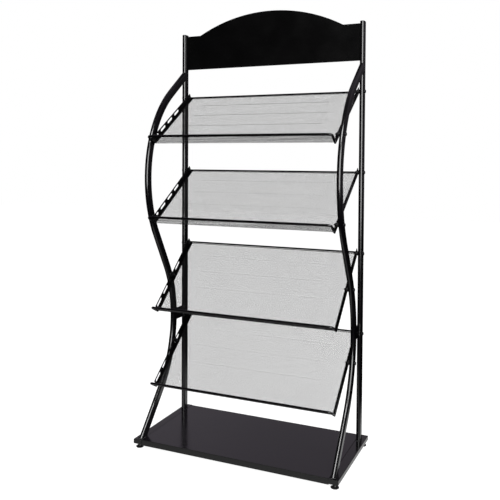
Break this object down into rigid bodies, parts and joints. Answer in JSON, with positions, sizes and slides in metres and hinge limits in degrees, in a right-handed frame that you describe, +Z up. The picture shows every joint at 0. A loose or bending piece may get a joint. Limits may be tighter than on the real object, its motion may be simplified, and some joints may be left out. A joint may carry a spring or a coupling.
{
  "type": "magazine rack",
  "caption": "Floor-standing black iron magazine rack: S-bent flat-oval tube sides, arched header, sloping expanded-metal shelves with lips, and a base board on levelling feet.",
  "frame": {"origin": "on the floor, midway between the foot rails and midway along them", "axes": "+X to the right seen from the front, +Y to the back of the rack, +Z up"},
  "size_m": [0.7, 0.362, 1.4749],
  "materials": {
    "coated_tube": "semi-gloss black powder coat",
    "coated_sheet": "satin black powder coat",
    "expanded_mesh": "satin black powder coat on expanded metal",
    "board_laminate": "satin charcoal laminate on board",
    "black_plastic": "matt moulded plastic",
    "zinc_steel": "dull zinc plate"
  },
  "bodies": {
    "rack": {"rear_post_left": "coated_tube", "post_cap_left": "black_plastic", "curved_tube_left": "coated_tube", "waist_tie_left": "coated_tube", "foot_rail_left": "coated_tube", "rail_cap_front_left": "black_plastic", "rail_cap_rear_left": "black_plastic", "rear_post_right": "coated_tube", "post_cap_right": "black_plastic", "curved_tube_right": "coated_tube", "waist_tie_right": "coated_tube", "foot_rail_right": "coated_tube", "rail_cap_front_right": "black_plastic", "rail_cap_rear_right": "black_plastic", "foot_inserts": "zinc_steel", "base_board": "board_laminate", "board_cleats": "coated_tube", "board_screws": "zinc_steel", "header_panel": "coated_sheet", "header_screws": "zinc_steel", "shelf_1_angle_left": "coated_sheet", "shelf_1_angle_right": "coated_sheet", "shelf_1_mesh": "expanded_mesh", "shelf_1_lip": "expanded_mesh", "shelf_1_rear_rod": "coated_tube", "shelf_1_rim": "coated_tube", "shelf_2_angle_left": "coated_sheet", "shelf_2_angle_right": "coated_sheet", "shelf_2_mesh": "expanded_mesh", "shelf_2_lip": "expanded_mesh", "shelf_2_rear_rod": "coated_tube", "shelf_2_rim": "coated_tube", "shelf_3_angle_left": "coated_sheet", "shelf_3_angle_right": "coated_sheet", "shelf_3_mesh": "expanded_mesh", "shelf_3_lip": "expanded_mesh", "shelf_3_rear_rod": "coated_tube", "shelf_3_rim": "coated_tube", "shelf_4_angle_left": "coated_sheet", "shelf_4_angle_right": "coated_sheet", "shelf_4_mesh": "expanded_mesh", "shelf_4_lip": "expanded_mesh", "shelf_4_rear_rod": "coated_tube", "shelf_4_rim": "coated_tube", "shelf_bolts": "zinc_steel", "shelf_nuts": "zinc_steel", "shelf_spacers": "black_plastic"},
    "foot_front_left": {"foot_pad_front_left": "black_plastic", "foot_stem_front_left": "zinc_steel"},
    "foot_rear_left": {"foot_pad_rear_left": "black_plastic", "foot_stem_rear_left": "zinc_steel"},
    "foot_front_right": {"foot_pad_front_right": "black_plastic", "foot_stem_front_right": "zinc_steel"},
    "foot_rear_right": {"foot_pad_rear_right": "black_plastic", "foot_stem_rear_right": "zinc_steel"}
  },
  "joints": [
    {"name": "level_front_left", "type": "slide", "parent": "rack", "child": "foot_front_left", "axis": [0, 0, 1], "range_m": [-0.005, 0.004]},
    {"name": "level_rear_left", "type": "slide", "parent": "rack", "child": "foot_rear_left", "axis": [0, 0, 1], "range_m": [-0.005, 0.004]},
    {"name": "level_front_right", "type": "slide", "parent": "rack", "child": "foot_front_right", "axis": [0, 0, 1], "range_m": [-0.005, 0.004]},
    {"name": "level_rear_right", "type": "slide", "parent": "rack", "child": "foot_rear_right", "axis": [0, 0, 1], "range_m": [-0.005, 0.004]}
  ]
}
